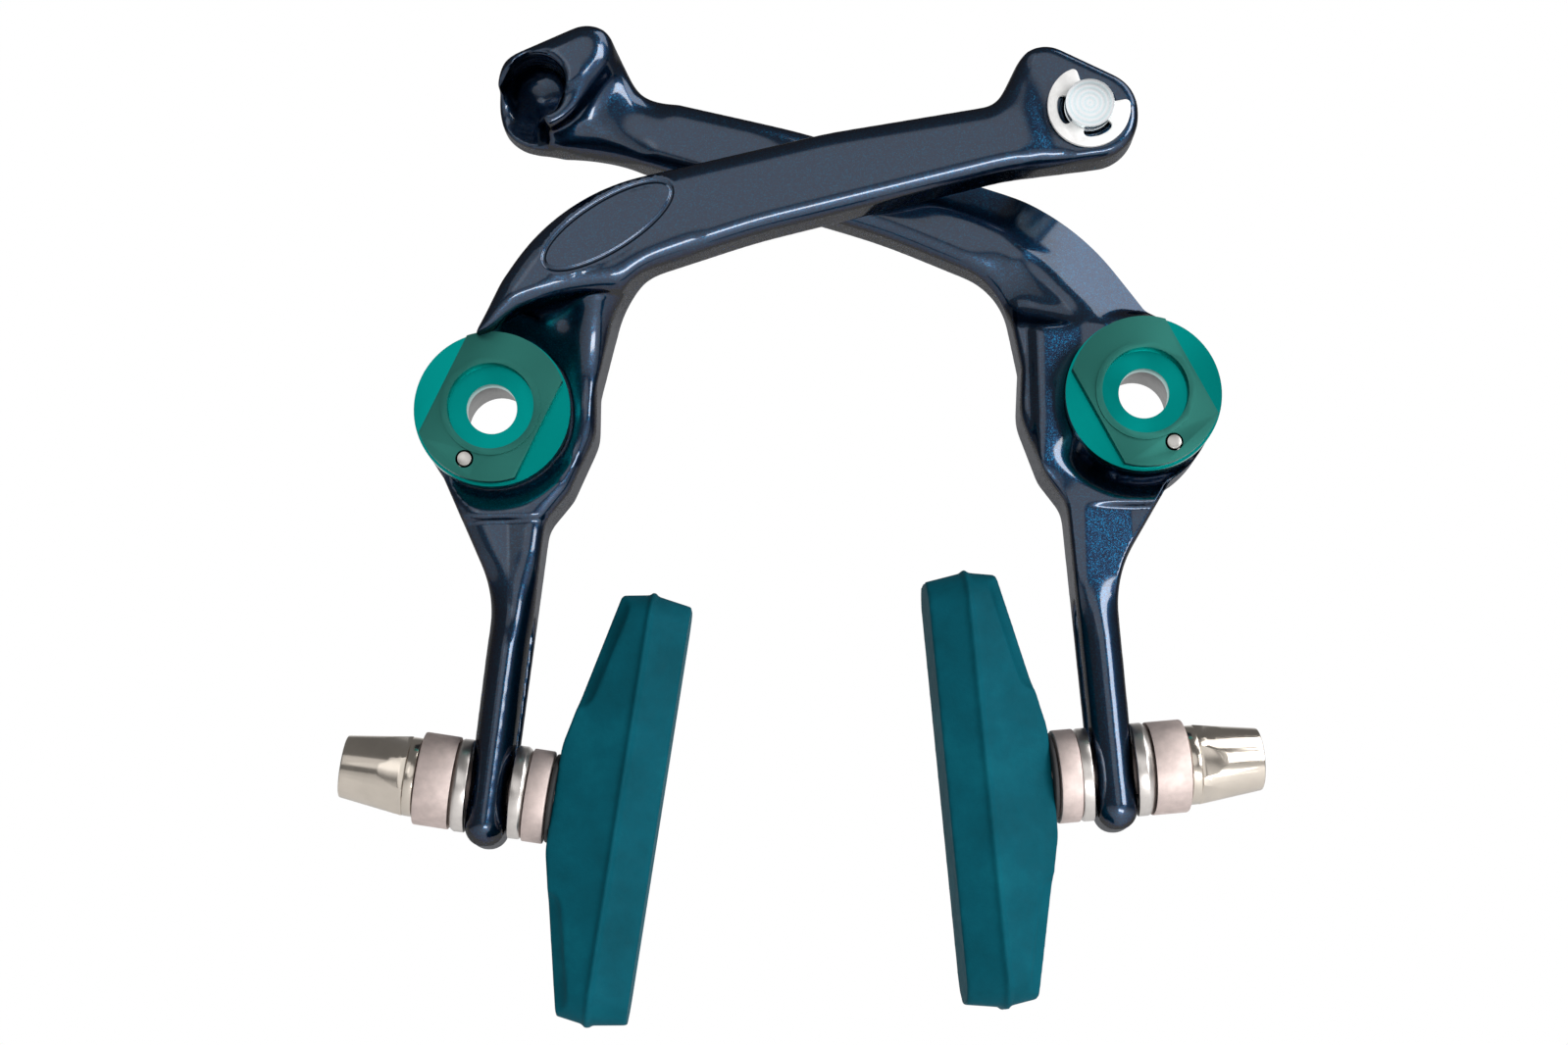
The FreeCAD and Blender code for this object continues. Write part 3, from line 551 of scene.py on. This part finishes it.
OVAL_CENTRE = (-25.1, 21.3)
OVAL_TURN = math.radians(31.0)
OVAL_HALF_LONG = 9.0
OVAL_HALF_SHORT = 3.1
OVAL_FACE = -22.0
LINE_DEPTH = 0.18
LINE_HALF_WIDTH = 0.30


def oval_gap(x, z):
    """The distance of a place from the oval's line, to a first order."""
    right, up = x - OVAL_CENTRE[0], z - OVAL_CENTRE[1]
    p = right * math.cos(OVAL_TURN) + up * math.sin(OVAL_TURN)
    r = up * math.cos(OVAL_TURN) - right * math.sin(OVAL_TURN)
    size = math.hypot(p / OVAL_HALF_LONG, r / OVAL_HALF_SHORT)
    slope = math.hypot(p / OVAL_HALF_LONG ** 2, r / OVAL_HALF_SHORT ** 2)
    return abs(size - 1.0) * size / max(slope, 1e-6)


def near_oval(bm):
    """The points near the oval's line, each with its distance from it."""
    near_face = 0.7
    near_line = 0.75
    found = {}
    for vert in bm.verts:
        x, y, z = vert.co / MM
        if abs(y - OVAL_FACE) < near_face:
            gap = oval_gap(x, z)
            if gap < near_line:
                found[vert] = gap
    return found


def engrave_oval(piece):
    """A fine line cut round an oval on the front arm's flat face."""
    with editing(piece.data) as bm:
        for _ in range(2):
            near = near_oval(bm)
            for vert in near:
                vert.co.y = OVAL_FACE * MM
            edges = [e for e in bm.edges if e.verts[0] in near and e.verts[1] in near]
            bmesh.ops.subdivide_edges(bm, edges=edges, cuts=1, use_grid_fill=True)
        for vert, gap in near_oval(bm).items():
            cut = max(0.0, 1.0 - (gap / LINE_HALF_WIDTH) ** 2)
            vert.co.y = (OVAL_FACE + LINE_DEPTH * cut) * MM
    piece.data.shade_smooth()


# rear arm

HUB = seen_place(JOINTS["rear_arm_pivot"])
RIDGE = [(37.0, 8.8), (32.8, 12.1), (23.3, 20.9), (14.0, 25.4), (0.0, 30.6), (-15.0, 34.4), (-21.0, 35.8)]
RIDGE_DEPTH = -12.6
RIDGE_SHARPNESS = 1.6
OUTER_SLOPE = 0.72
HOLLOW_FOOT = 9.6
HOLLOW_DEPTH = 2.0
PANEL_LEFT = 27.0
PANEL_LEFT_DEPTH = -13.8
PANEL_HUB_DEPTH = -12.6
PANEL_SLOPE = 0.2
SCOOP_DEPTH = 2.4
SCOOP_RADIUS = 12.8
SCOOP_WIDTH = 3.2
PANEL_EDGE = (28.5, 0.5)
PANEL_EDGE_STRETCH = 0.55
SHOULDER = (29.5, 13.0)
REAR_LEG_TOP = -21.0

SEAT = seen_place(MOUNTS["cable_seat"])
SEAT_RADIUS = MOUNTS["cable_seat"]["dims"]["r_mm"]
SEAT_SINK = 1.8
SEAT_DISH = 1.4
SEAT_WALL_END = -10.5
TURNED_DEPTH = 0.13
TURNED_PITCH = 1.15
LIP_RADIUS = SEAT_RADIUS + 0.6
LIP_OUTSIDE = [(-24.2, 45.2), (-25.2, 42.7), (-26.7, 40.3), (-28.4, 38.1), (-30.1, 36.5), (-32.5, 35.3)]
LIP_FRONT = -16.4
WEB_OUTSIDE = [(-23.5, 45.0), (-21.5, 40.5), (-24.0, 37.2), (-28.0, 35.4)]
WEB_FRONT = -12.9
WEB_CENTRE = (-24.8, 39.3)
HEAD_BACK = -7.0


def seat_lip():
    """The rounded lip that closes the cable seat on its right and below."""
    turns = [math.radians(angle) for angle in range(-84, 61, 12)]
    inside = [(SEAT[0] + LIP_RADIUS * math.cos(a), SEAT[1] + LIP_RADIUS * math.sin(a)) for a in turns]
    return extruded(LIP_OUTSIDE + inside, LIP_FRONT, HEAD_BACK)


def head_web():
    """The web between the seat's lip and the beam."""
    return extruded(WEB_OUTSIDE + LIP_OUTSIDE[3:0:-1], WEB_FRONT, HEAD_BACK)


def slope_outer_edge(arm):
    """A broad slope outside the beam's ridge, and a hollow inside it, above the panel."""
    points = get_points(arm)
    x, y, z = points.T
    gap, side, _ = beside(points, RIDGE)
    outside = np.where(side < 0.0, gap, -gap)
    rounded = np.logaddexp(0.0, outside * RIDGE_SHARPNESS) / RIDGE_SHARPNESS
    sloped = ease(reach_from(points, HUB), 9.8, 11.6) * ease(x, -8.0, 8.0)
    off_back = y < -4.0
    y += sloped * np.maximum(RIDGE_DEPTH + OUTER_SLOPE * rounded - y, 0.0) * off_back
    hollow = band(z - HOLLOW_FOOT, 0.0, 1.6, 2.0, 11.0) * fade(outside, -3.2, -0.6)
    y += HOLLOW_DEPTH * hollow * ease(x, 18.0, 23.0) * ease(-y, 8.0, 10.5)
    put_points(arm, points)
    relax(arm, fade(np.abs(outside), 2.0, 4.0) * sloped, rounds=14)


def shape_hub(arm):
    """A flat panel beside the hub, a scoop below the hub, and the leg's rounded front."""
    points = get_points(arm)
    x, y, z = points.T
    reach = reach_from(points, HUB)
    panel = band(x, 26.4, 27.2, 35.5, 37.0) * band(z, -12.5, -7.5, 9.2, 9.9)
    panel *= ease(reach, 8.2, 8.8) * ease(-y, 11.0, 11.6)
    y += panel * (np.minimum(PANEL_LEFT_DEPTH + PANEL_SLOPE * (x - PANEL_LEFT), PANEL_HUB_DEPTH) - y)
    scoop = band(turn_about(points, HUB), 205.0, 228.0, 318.0, 335.0)
    scoop *= ease(-y, 11.4, 12.0) * fade(reach, 12.6, 13.0)
    y += SCOOP_DEPTH * scoop * np.clip((SCOOP_RADIUS - reach) / SCOOP_WIDTH, 0.0, 1.0)
    tilt_lower_face(points, 1.0)
    round_nose(points, REAR_LEG_TOP)
    put_points(arm, points)

    edge_gap = np.hypot(x - PANEL_EDGE[0], (z - PANEL_EDGE[1]) * PANEL_EDGE_STRETCH)
    edge = fade(edge_gap, 5.0, 8.0) * ease(-y, 10.0, 11.5)
    shoulder = fade(reach_from(points, SHOULDER), 4.5, 7.0) * ease(z, 9.9, 11.2) * ease(-y, 7.0, 9.0)
    relax(arm, edge * 0.5, rounds=24)
    relax(arm, shoulder, rounds=80)


def turn_cable_seat(arm):
    """The seat's sunk floor, open at the lower left, its turned wall, and its lip run into the beam."""
    points = get_points(arm)
    y = points[:, 1]
    reach = reach_from(points, SEAT)
    turn = turn_about(points, SEAT)
    mouth = band(turn, 185.0, 205.0, 268.0, 280.0)
    floor = fade(reach, 3.2 + 0.4 * mouth, 3.9 + 4.4 * mouth) * band(y, -10.4, -9.4, -8.5, -7.0)
    y += floor * (SEAT_SINK + SEAT_DISH * np.clip(1.0 - reach / SEAT_RADIUS, 0.0, 1.0))
    wall_end = band(turn, 140.0, 205.0, 205.0, 225.0) * ease(reach, 3.2, 3.6)
    y += wall_end * np.maximum(SEAT_WALL_END - y, 0.0)
    wall = band(reach, 2.9, 3.3, 4.0, 4.5) * ease(-y, 9.3, 9.8)
    groove = wall * TURNED_DEPTH * np.cos(y * 2.0 * np.pi / TURNED_PITCH)
    points[:, (0, 2)] += (groove / np.maximum(reach, 0.1))[:, None] * (points[:, (0, 2)] - SEAT)
    put_points(arm, points)

    web = fade(reach_from(points, WEB_CENTRE), 5.5, 8.5) * ease(reach, 5.3, 7.2)
    lip, _, _ = beside(points, LIP_OUTSIDE)
    relax(arm, floor * 0.5, rounds=24)
    relax(arm, wall_end, rounds=80)
    relax(arm, web, rounds=140)
    relax(arm, fade(lip, 0.8, 1.8) * ease(reach, 4.5, 5.0), rounds=16)


def dress_rear_arm():
    """The rear arm with the lip and web of its head, from the outer edge to the cable seat."""
    arm = soften("rear_arm", FORGED_VOXEL, FORGED_ROUNDS, added=[seat_lip(), head_web()])
    slope_outer_edge(arm)
    shape_hub(arm)
    turn_cable_seat(arm)
    return arm


# pads

PAD_VOXEL = 0.24
PAD_ROUNDS = 5
PAD_PARTING = -16.2
INNER_LEAN = 0.26
OUTER_LEAN = 0.11


def dress_pad(hand):
    """A moulded pad whose sides lean in both ways from the parting line."""
    pad = soften("brake_pad_" + hand, PAD_VOXEL, PAD_ROUNDS)
    turn = JOINTS[f"shoe_{hand}_turn"]
    outward = np.array(turn["axis"])
    sideways = np.cross(outward, JOINTS[f"shoe_{hand}_toe"]["axis"])
    sideways /= np.linalg.norm(sideways)
    points = get_points(pad)
    off = points - place_of(turn)
    past = off @ outward - PAD_PARTING
    wide = off @ sideways
    lean = np.where(past < 0.0, INNER_LEAN * -past, OUTER_LEAN * past)
    share = ease(np.abs(wide) / np.abs(wide).max(), 0.0, 0.8)
    points -= (np.sign(wide) * lean * share)[:, None] * sideways
    put_points(pad, points)
    return pad


# clip

CLIP_CORNER = 0.7
CORNER_ABOVE = math.radians(40.0)


def clip_plate():
    """The clip's mesh, a plate across y, with round corners."""
    mesh = clean_mesh("anchor_clip")
    with editing(mesh) as bm:
        merge_flat(bm)
        upright = [e for e in bm.edges if abs((e.verts[1].co - e.verts[0].co).normalized().y) > 0.99]
        corners = [e for e in upright if e.calc_face_angle(0.0) > CORNER_ABOVE]
        places = [e.verts[0].co.xz for e in corners]
        # the edges of an arc that ends at a corner would leave no room to round it
        room = 1.5 * CLIP_CORNER * MM
        arcs = [e for e in upright if e not in corners]
        short = [e for e in arcs if min((e.verts[0].co.xz - p).length for p in places) < room]
        bmesh.ops.dissolve_edges(bm, edges=short, use_verts=True)
        bmesh.ops.bevel(bm, geom=corners, offset=CLIP_CORNER * MM, segments=5, profile=0.5,
                        affect="EDGES", clamp_overlap=True)
    return mesh


# all pieces in their materials

ENAMEL = enamel()
GREEN = anodised()
PAD = rubber()
BLACK = plain("black_rubber", (0.012, 0.012, 0.013), rough=0.6)
PALE = plain("pale_ring", (0.55, 0.57, 0.57), rough=0.5)
CUP = steel("cup_steel", (0.67, 0.57, 0.54), rough=(0.55, 0.68), grain=2.2, depth=0.03)
DOME = steel("dome_steel", (0.70, 0.66, 0.63), rough=(0.24, 0.36), grain=2.0, depth=0.012)
NICKEL = steel("nickel", (0.71, 0.64, 0.56), rough=(0.14, 0.20), grain=0.5, depth=0.003)
WIRE = steel("spring_steel", (0.62, 0.60, 0.57), rough=(0.25, 0.36), grain=2.0, depth=0.01)
# The bush is painted dark steel, as painted shade in the hub's bore.
SHADED_BUSH = steel("bush_steel", (0.16, 0.16, 0.16), rough=(0.35, 0.45), grain=2.0, depth=0.01)
CLIP = steel("clip_steel", (0.82, 0.81, 0.80), rough=(0.50, 0.60), grain=1.8, depth=0.01, metallic=0.3)
ZINC = turned_zinc(seen_place(JOINTS["cable_anchor_swivel"]))

# start of the node's name, material, width of the broken edges and their segments
MACHINED = (
    ("spring_adjuster_", GREEN, 0.40, 4),
    ("seal_ring_", PALE, 0.08, 2),
    ("return_spring_", WIRE, 0.10, 2),
    ("pivot_bush_", SHADED_BUSH, 0.15, 2),
    ("inner_dome_washer_", DOME, 0.12, 2),
    ("outer_dome_washer_", DOME, 0.12, 2),
    ("inner_cup_washer_", CUP, 0.20, 2),
    ("outer_cup_washer_", CUP, 0.20, 2),
    ("pad_post_", CUP, 0.10, 2),
    ("pad_ring_", BLACK, 0.25, 3),
    ("nut_washer_", NICKEL, 0.12, 2),
    ("cap_nut_", NICKEL, 0.20, 3),
)

front_arm = dress_front_arm()
engrave_oval(front_arm)
ENAMEL.wear(front_arm, dress_rear_arm())
for hand in HANDS:
    for start, material, width, segments in MACHINED:
        material.wear(bevelled(start + hand, width, segments))
    PAD.wear(dress_pad(hand))
ZINC.wear(bevelled("cable_anchor_pin", width=0.25, segments=3))
CLIP.wear(bevelled("anchor_clip", width=0.12, mesh=clip_plate()))


# floor, in metres

FLOOR_SIZE = 3.0
FLOOR_Z = -0.30
bpy.ops.mesh.primitive_plane_add(size=FLOOR_SIZE, location=(0.0, 0.0, FLOOR_Z))
floor = bpy.context.object
floor.name = "floor"
pale = Shade("floor_pale", Roughness=0.8)
pale.colour(pale.ramp(pale.noise(per_mm=0.002), (0.3, (0.86,) * 3), (0.7, (0.88,) * 3)))
pale.wear(floor)


# light, in metres

ROOM_LEVEL = 0.60
SCREEN_RISE = math.radians(11.0)
WHITE = (1.0,) * 3
DIM = (0.16,) * 3


def light_room():
    """White to the camera, an even room light, and in reflections a screen behind the camera."""
    world = bpy.data.worlds.new("studio")
    scene.world = world
    world.use_nodes = True
    w = Nodes(world.node_tree)
    ground = w.tree.nodes["Background"]
    ground.inputs["Color"].default_value = (*WHITE, 1.0)
    path = w.add("ShaderNodeLightPath")
    mirrored = w.larger(path.outputs["Is Glossy Ray"], path.outputs["Is Transmission Ray"])
    # mirrored: a white screen behind and above the camera, dim at the sides, and the white background
    from_screen = w.vector("DOT_PRODUCT", w.add("ShaderNodeTexCoord").outputs["Generated"])
    from_screen.inputs[1].default_value = (0.0, math.cos(SCREEN_RISE), -math.sin(SCREEN_RISE))
    depth = w.spread(from_screen.outputs["Value"], start=-1.0)
    room = w.ramp(depth, (0.016, WHITE), (0.036, DIM), (0.80, DIM), (0.97, WHITE))
    level = w.add("ShaderNodeMix")
    level.inputs["A"].default_value = ROOM_LEVEL
    w.link(mirrored, level.inputs["Factor"])
    w.link(room, level.inputs["B"])
    shown = w.larger(path.outputs["Is Camera Ray"], level.outputs["Result"])
    w.link(shown, ground.inputs["Strength"])


def area_light(name, where, target, size, power):
    """A rectangular lamp aimed at a place, hidden from the camera."""
    lamp = bpy.data.lights.new(name, "AREA")
    lamp.shape = "RECTANGLE"
    lamp.size, lamp.size_y = size
    lamp.energy = power
    item = bpy.data.objects.new(name, lamp)
    item.location = where
    item.rotation_mode = "QUATERNION"
    item.rotation_quaternion = (Vector(target) - Vector(where)).to_track_quat("-Z", "Y")
    item.visible_camera = False
    scene.collection.objects.link(item)


light_room()
area_light("key", where=(0.56, -0.22, 0.54), target=(0.0, 0.0, 0.0), size=(0.6, 0.6), power=3.4)
area_light("fill", where=(-0.30, -0.60, 0.25), target=(0.0, 0.0, -0.01), size=(0.4, 0.4), power=0.3)
area_light("side", where=(0.50, -0.47, 0.08), target=(0.0, 0.0, 0.0), size=(0.30, 0.30), power=2.5)
area_light("low", where=(0.14, -0.30, -0.25), target=(0.0, -0.01, 0.02), size=(0.24, 0.07), power=0.6)


# camera: the photograph's view, looking up a little, the picture turned slightly

PICTURE_WIDTH = 1599.0
FOCAL_PIXELS = 3750.0
SENSOR_WIDTH = 36.0
LOOK_UP = math.radians(8.0)
ROLL = math.radians(1.38)
CAMERA_PLACE = Vector((-4.51, -460.3, -77.4))

camera = bpy.data.objects.new("camera", bpy.data.cameras.new("camera"))
scene.collection.objects.link(camera)
scene.camera = camera
camera.data.sensor_width = SENSOR_WIDTH
camera.data.lens = FOCAL_PIXELS / PICTURE_WIDTH * SENSOR_WIDTH
camera.data.clip_start = 0.01
camera.data.clip_end = 10.0
turned = Matrix.Rotation(math.pi / 2 + LOOK_UP, 4, "X") @ Matrix.Rotation(-ROLL, 4, "Z")
camera.matrix_world = Matrix.Translation(CAMERA_PLACE * MM) @ turned

scene.view_settings.view_transform = "Standard"
